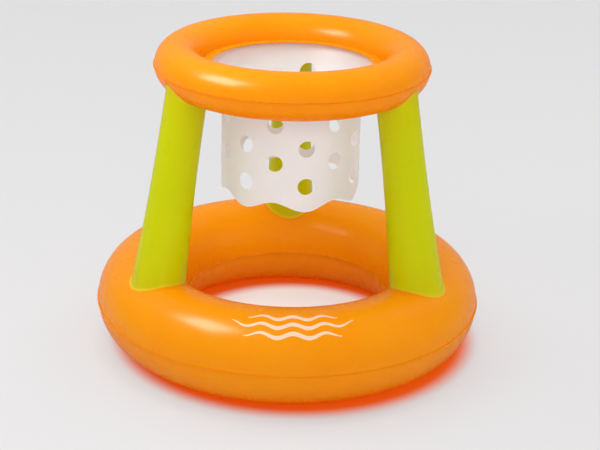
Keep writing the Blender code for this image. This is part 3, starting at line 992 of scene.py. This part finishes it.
def tube_distance(ring, points):
    """How far points lie from a ring's core."""
    return np.hypot(np.hypot(points[:, 0], points[:, 1]) - ring.centre_radius, points[:, 2] - ring.height)


def land(ring, offset, path, inside, outside):
    """Where each path that starts inside a tube crosses the surface that lies offset outside the tube."""
    for _ in range(search_steps):
        middle = (inside + outside) / 2
        within = tube_distance(ring, path(middle)) < ring.tube_radius + offset
        inside = np.where(within, middle, inside)
        outside = np.where(within, outside, middle)
    return outside


def from_core(ring, points):
    """The places on a ring's core nearest to some points, and the directions from them outwards."""
    flat = points * (1, 1, 0)
    core = flat / np.linalg.norm(flat, axis=1, keepdims=True) * ring.centre_radius + (0, 0, ring.height)
    return core, (points - core) / np.linalg.norm(points - core, axis=1, keepdims=True)


def lip_points(ring, offset, roots, axis_points, width):
    """The edge of a weld lip that lies on a tube and spreads by width from its roots, away from an
    axis."""
    normal = from_core(ring, roots)[1]
    away = roots - axis_points
    away -= normal * (away * normal).sum(axis=1, keepdims=True)
    tips = roots + away / np.linalg.norm(away, axis=1, keepdims=True) * width
    core, normal = from_core(ring, tips)
    return core + normal * (ring.tube_radius + offset)


def leg_points(base, rim, seed):
    """A leg's closed shell on the +X side as columns of points round it, its weld marks and its
    lining's rows."""
    random = np.random.default_rng(seed)
    foot_radius = leg_foot_diameter / 2
    head_radius = rim.tube_radius - leg_head_margin
    foot = np.array((base.centre_radius - leg_foot_inset, 0, base.height + base.tube_radius))
    rim_core = np.array((rim.centre_radius, 0, rim.height))
    reach = np.linalg.norm(rim_core - foot)
    along = (rim_core - foot) / reach
    head = rim_core - along * rim.tube_radius
    length = np.linalg.norm(head - foot)
    across = np.array((0.0, 1.0, 0.0))
    inward = np.cross(across, along)
    lap = leg_lap_width / 2 / head_radius
    angles = np.unique(np.concatenate([
        np.linspace(-math.pi, math.pi, leg_columns, endpoint=False),
        (-lap - leg_lap_step, -lap, lap, lap + leg_lap_step),
    ]))
    in_lap = np.abs(angles) <= lap
    outward = inward * np.cos(angles)[:, None] + across * np.sin(angles)[:, None]

    def wall(share, depth):
        """The points depth under the outer side, at a share of the leg's length."""
        widening = (foot_radius - head_radius) * np.abs(1 - share) ** leg_taper_power
        radius = head_radius + widening - depth
        return foot + np.outer(share, head - foot) + outward * np.reshape(radius, (-1, 1))

    def meeting(ring, end, depth):
        """The shares of the leg's length at which its wall, at a depth, meets a ring's lip."""
        bounds = [np.full(len(angles), bound) for bound in leg_search[end]]
        return land(ring, weld_gap + vinyl_thickness - depth, lambda share: wall(share, depth), *bounds)

    low = meeting(base, "foot", 0)
    high = meeting(rim, "head", 0)
    low_bore = meeting(base, "foot", vinyl_thickness)
    high_bore = meeting(rim, "head", vinyl_thickness)
    around = (angles + math.pi) / math.tau
    steps = np.linspace(0, 1, leg_rows)
    steps = leg_row_evenness * steps + (1 - leg_row_evenness) * (1 - np.cos(math.pi * steps)) / 2
    from_foot = steps * length
    from_head = (1 - steps) * length
    sunk = dents_along(leg_foot_dents, around, math.tau * foot_radius, from_foot, random)
    sunk += dents_along(leg_head_dents, around, math.tau * head_radius, from_head, random)
    raised = np.where(in_lap, vinyl_thickness, 0.0)
    mark = np.exp(-from_foot / leg_weld_mark_length) + np.exp(-from_head / leg_weld_mark_length)

    def lip(ring, offset, share):
        """The edge of the lip that spreads on a ring from the wall at a share of the leg's length."""
        roots = wall(share, 0)
        axis_points = foot + np.outer((roots - foot) @ along, along)
        return lip_points(ring, offset, roots, axis_points, leg_weld_width)

    columns = [lip(base, weld_gap + vinyl_thickness, low)]
    marks = [1.0]
    for k, step in enumerate(steps):
        columns.append(wall(low + (high - low) * step, sunk[:, k] - raised))
        marks.append(min(1.0, mark[k]))
    columns += [lip(rim, weld_gap + vinyl_thickness, high), lip(rim, weld_gap, high)]
    marks += [1.0, 1.0]
    lining = slice(len(columns), len(columns) + leg_lining_rows - 1)
    for step in np.linspace(1, 0, leg_lining_rows):
        columns.append(wall(low_bore + (high_bore - low_bore) * step, vinyl_thickness))
        marks.append(0.0)
    columns.append(lip(base, weld_gap, low))
    marks.append(1.0)
    points = np.stack(columns, axis=1)
    return points, np.tile(marks, (len(angles), 1)), lining


lime_vinyl = vinyl("lime_vinyl", lime, deep_lime, lime_lip_painted_light, lime_through, lime_shine, lime_roughness)
for number, (leg_name, azimuth) in enumerate(leg_azimuths.items()):
    leg = shell_mesh(leg_name + "_sheet", *leg_points(base_ring, rim_ring, leg_seed + number))
    leg.transform(Matrix.Rotation(math.radians(azimuth), 4, "Z"))
    add_piece(leg_name + "_sheet", leg, (lime_vinyl, chamber_lining), "hoop", "leg_vinyl", leg_name)


# Rim: a smaller ring of the same orange vinyl, made of two welded panels like the base ring. It
# rests on the three leg heads, and the net hangs from its inner seam.
rim_valve_azimuth = math.radians(120)
rim_valve_tilt = math.pi / 7
rim_root_weld = 0.005
rim_tip_weld = 0.004
vent_radius = 0.007


def vent(azimuth):
    """The cutter of the air vent from a leg's head into the rim."""
    around = Vector((math.cos(azimuth), math.sin(azimuth), 0))
    core = around * rim_ring.centre_radius + Vector((0, 0, rim_ring.height))
    return core - Vector((0, 0, rim_ring.tube_radius + port_reach)), core, vent_radius


vents = [vent(math.radians(azimuth)) for azimuth in leg_azimuths.values()]
rim_valve = valve_frame(rim_ring, rim_valve_azimuth, rim_valve_tilt)
add_panel("rim_lower", rim_ring, -1, vents)
add_panel("rim_upper", rim_ring, 1, (port(rim_valve),))
add_ribs("rim_weld_ribs", rim_ring, (
    (rim_ring.tube_radius, outer_seam_width), (-rim_ring.tube_radius - rim_root_weld, rim_root_weld),
    (-rim_ring.tube_radius - rim_ring.inner_seam_width, rim_tip_weld),
))


# Rim valve: the same moulding as the base ring's, for the air chamber of the rim and the legs.
add_valve("rim", rim_ring, rim_valve)


# Net: one sheet of frosted vinyl with a wavy edge and two kinds of punched columns by turns. It is
# rolled into a tube, and its hem is welded under the rim's inner seam, from where it narrows.
scallop_count = 7
net_radius = 0.119
net_drop = 0.216
net_flare_length = 0.065
hem_height = rim_ring.height - 1.5 * weld_gap - 2 * vinyl_thickness
net_hem_width = 0.0034
net_hem_reach = 0.004
net_top_radius = rim_ring.centre_radius - rim_ring.tube_radius - net_hem_reach
hole_radius = 0.014
hole_pitch = 0.065
low_column = (0.0, 0.0375, 3)
high_column = (0.5, 0.0765, 2)
scallop_depth = 0.015
scallop_fade_height = 0.022
first_low_column_azimuth = math.radians(270 + 90 / scallop_count)
net_columns = 36
net_rows = 72
unit_start_share = 0.25
hem_rows = 3
hole_block = 14
hole_ring_shares = (0.0, 0.035, 0.10, 0.22, 0.42, 0.68)
hole_rim_length = 0.0011
net_lap_azimuth = math.radians(90 + 360)
net_lap_width = 0.008
net_lap_edge_share = 0.45
net_lap_inset = 0.0004
net_lap_shares = (-0.5, -0.42, -0.2, 0.0, 0.2, 0.42, 0.5)
net_lap_standoff = 0.00035
net_fold_depth = 0.0022
net_fold_scale = 11.0
net_fold_squat = (1.0, 1.0, 0.35)
net_flutter = 0.0035
net_flutter_scale = 21.0
net_flutter_power = 5.0
net_merge_distance = 0.00002
frost = (0.92, 0.93, 0.93)
frost_edge = (0.975, 0.97, 0.96)
frost_glow = 0.5
frost_roughness = 0.42


def punch_hole(unit, rim_mark, centre, frame_verts):
    """A round hole with rings of faces, which reach from its edge to the frame that it is cut in."""
    loops = []
    for share in hole_ring_shares:
        loop = []
        for corner in frame_verts:
            inner = centre + (corner.co - centre).normalized() * hole_radius
            vert = unit.verts.new(inner.lerp(corner.co, share))
            vert[rim_mark] = math.exp(-(vert.co - inner).length / hole_rim_length)
            loop.append(vert)
        loops.append(loop)
    loops.append(frame_verts)
    for inner_loop, outer_loop in zip(loops, loops[1:]):
        add_band(unit, outer_loop, inner_loop)


def scallop_unit():
    """One scallop's width of net, flat: X runs along the edge, Z is the height over it."""
    width = math.tau * net_radius / scallop_count
    edge = rim_ring.height - net_drop
    tall = hem_height - edge
    unit = bmesh.new()
    rim_mark = unit.verts.layers.float.new("edge")
    grid = {}
    levels = [tall * k / net_rows for k in range(net_rows + 1)]
    levels += [tall + net_hem_width * (k + 1) / hem_rows for k in range(hem_rows)]
    for i in range(net_columns + 1):
        for k, level in enumerate(levels):
            start = (i / net_columns - unit_start_share) * width
            grid[i, k] = unit.verts.new((start, 0, level))
            grid[i, k][rim_mark] = math.exp(-level / hole_rim_length)
    taken = set()
    for place, first_height, holes in (low_column, high_column):
        for hole in range(holes):
            centre = Vector((place * width, 0, first_height + hole * hole_pitch))
            left = round((place + unit_start_share) * net_columns) - hole_block // 2
            low = round(centre.z / tall * net_rows) - hole_block // 2
            taken.update((left + i, low + k) for i in range(hole_block) for k in range(hole_block))
            side = [(i, 0) for i in range(hole_block)] + [(hole_block, k) for k in range(hole_block)]
            side += [(hole_block - i, hole_block - k) for i, k in side]
            punch_hole(unit, rim_mark, centre, [grid[left + i, low + k] for i, k in side])
    for i in range(net_columns):
        for k in range(len(levels) - 1):
            if (i, k) not in taken:
                unit.faces.new((grid[i, k], grid[i + 1, k], grid[i + 1, k + 1], grid[i, k + 1]))
    loose = [vert for vert in unit.verts if not vert.link_faces]
    bmesh.ops.delete(unit, geom=loose, context="VERTS")
    return mesh_of("scallop_unit", unit)


def lap_unit():
    """The strip of the sheet's far end that laps over its near end, flat, at the rear."""
    middle = net_radius * (net_lap_azimuth - first_low_column_azimuth)
    tall = hem_height - rim_ring.height + net_drop
    strip = bmesh.new()
    pale = strip.verts.layers.float.new("edge")
    levels = [net_lap_inset + (tall - 2 * net_lap_inset) * k / net_rows for k in range(net_rows + 1)]
    columns = []
    for share in net_lap_shares:
        x = middle + share * net_lap_width
        columns.append([strip.verts.new((x, 0, level)) for level in levels])
        for vert in columns[-1]:
            vert[pale] = float(abs(share) > net_lap_edge_share)
    for left, right in zip(columns, columns[1:]):
        for k in range(net_rows):
            strip.faces.new((left[k], right[k], right[k + 1], left[k + 1]))
    return mesh_of("lap_unit", strip)


net_tree, net_in, net_out = new_tree(
    "net_tube", Scallops="Int", Copies="Int", Standoff="Float", Net_Radius="Float", Top_Radius="Float",
    Edge_Height="Float", Straight_Rise="Float", Hem_Rise="Float", Wave_Depth="Float", Wave_Fade="Float",
    First_Azimuth="Float", Fold_Depth="Float", Fold_Scale="Float", Flutter="Float", Vinyl="Material",
)
net_node = partial(add_node, net_tree)
net_figure = partial(figure, net_tree)
flat_spot = net_node("GeometryNodeInputPosition").outputs[0]
flat_place = net_node("ShaderNodeSeparateXYZ", {0: flat_spot}).outputs
rise = net_figure("MINIMUM", flat_place["Z"], net_in["Hem Rise"])
over_hem = net_figure("SUBTRACT", flat_place["Z"], rise)
flare_length = net_figure("SUBTRACT", net_in["Hem Rise"], net_in["Straight Rise"])
flare = net_figure("DIVIDE", net_figure("SUBTRACT", net_in["Hem Rise"], rise), flare_length, clamp=True)
flare_turn = net_figure("COSINE", net_figure("MULTIPLY", flare, math.pi))
narrowing = net_figure("MULTIPLY_ADD", flare_turn, -0.5, 0.5)
top_radius = net_figure("ADD", net_figure("ADD", net_in["Top Radius"], net_in["Standoff"]), over_hem)
taper = net_figure("SUBTRACT", net_in["Net Radius"], net_in["Top Radius"])
tube_radius = net_figure("MULTIPLY_ADD", narrowing, taper, top_radius)
bend = net_figure("DIVIDE", flat_place["X"], net_in["Net Radius"])
wave_fade = net_figure("SUBTRACT", 1.0, net_figure("DIVIDE", rise, net_in["Wave Fade"]), clamp=True)
wave_turn = net_figure("COSINE", net_figure("MULTIPLY", bend, net_in["Scallops"]))
wave_half = net_figure("MULTIPLY", net_in["Wave Depth"], -0.5)
wave_drop = net_figure("MULTIPLY", net_figure("MULTIPLY", wave_fade, wave_turn), wave_half)
bent_place = net_node("ShaderNodeCombineXYZ", {
    "X": net_figure("MULTIPLY", tube_radius, net_figure("COSINE", bend)),
    "Y": net_figure("MULTIPLY", tube_radius, net_figure("SINE", bend)),
    "Z": net_figure("ADD", net_figure("ADD", rise, wave_drop), net_in["Edge Height"]),
})
bent = net_node("GeometryNodeSetPosition", {"Geometry": net_in["Geometry"], "Position": bent_place})
stations = net_node("GeometryNodeMeshLine", {"Count": net_in["Copies"], "Offset": (0, 0, 0)})
station = net_node("GeometryNodeInputIndex").outputs[0]
scallop_angle = net_figure("DIVIDE", math.tau, net_in["Scallops"])
station_turn = net_node("ShaderNodeCombineXYZ", {
    "Z": net_figure("MULTIPLY_ADD", station, scallop_angle, net_in["First Azimuth"]),
})
placed = net_node("GeometryNodeInstanceOnPoints", {
    "Points": stations, "Instance": bent, "Rotation": station_turn,
})
realized = net_node("GeometryNodeRealizeInstances", {"Geometry": placed})
merged = net_node("GeometryNodeMergeByDistance", {"Geometry": realized, "Distance": net_merge_distance})
tube_spot = net_node("GeometryNodeInputPosition").outputs[0]
level = net_node("ShaderNodeSeparateXYZ", {0: tube_spot}).outputs["Z"]
over_edge = net_figure("SUBTRACT", level, net_in["Edge Height"])
hung = net_figure("SUBTRACT", 1.0, net_figure("DIVIDE", over_edge, net_in["Hem Rise"]), clamp=True)
squat = vector_figure(net_tree, "MULTIPLY", tube_spot, net_fold_squat)
folds = net_figure("SUBTRACT", noise(net_tree, squat, net_in["Fold Scale"], 1.0), 0.5)
fold_depth = net_figure("MULTIPLY", net_figure("SQRT", hung), net_in["Fold Depth"])
flutters = net_figure("SUBTRACT", noise(net_tree, tube_spot, net_flutter_scale, 1.0), 0.5)
flutter_depth = net_figure("MULTIPLY", net_figure("POWER", hung, net_flutter_power), net_in["Flutter"])
fold = net_figure("MULTIPLY", folds, fold_depth)
swing = net_figure("ADD", fold, net_figure("MULTIPLY", flutters, flutter_depth))
level_spot = vector_figure(net_tree, "MULTIPLY", tube_spot, (1.0, 1.0, 0.0))
outward = vector_figure(net_tree, "NORMALIZE", level_spot)
moved = net_node("ShaderNodeVectorMath", {
    0: outward, "Scale": net_figure("MULTIPLY", swing, 2.0),
}, operation="SCALE")
draped = net_node("GeometryNodeSetPosition", {"Geometry": merged, "Offset": moved})
covered = net_node("GeometryNodeSetMaterial", {"Geometry": draped, "Material": net_in["Vinyl"]})
feed(net_tree, net_out, {0: covered})
net_sizes = {
    "Scallops": scallop_count, "Net_Radius": net_radius, "Top_Radius": net_top_radius,
    "Edge_Height": rim_ring.height - net_drop, "Straight_Rise": net_drop - net_flare_length,
    "Hem_Rise": hem_height - rim_ring.height + net_drop, "Wave_Depth": scallop_depth,
    "Wave_Fade": scallop_fade_height, "First_Azimuth": first_low_column_azimuth, "Fold_Depth": net_fold_depth,
    "Fold_Scale": net_fold_scale, "Flutter": net_flutter,
}
frosted_vinyl = milky_vinyl("frosted_vinyl", frost, frost_edge, frost_glow, frost_roughness)


def net_piece(name, unit, copies, standoff, *nodes):
    """Add a piece of the net: its flat unit, copied round, bent, draped and given its thickness."""
    sizes = sized(net_tree, Copies=copies, Standoff=standoff, Vinyl=frosted_vinyl, **net_sizes)
    sheet = finished(unit, sizes, ("SOLIDIFY", {"thickness": vinyl_thickness, "offset": -1.0}))
    return add_piece(name, sheet, (frosted_vinyl,), "hoop", "net_vinyl", *nodes)


net = net_piece("net_sheet", scallop_unit(), scallop_count, 0.0, "net")
net_lap = net_piece("net_lap", lap_unit(), 1, net_lap_standoff)
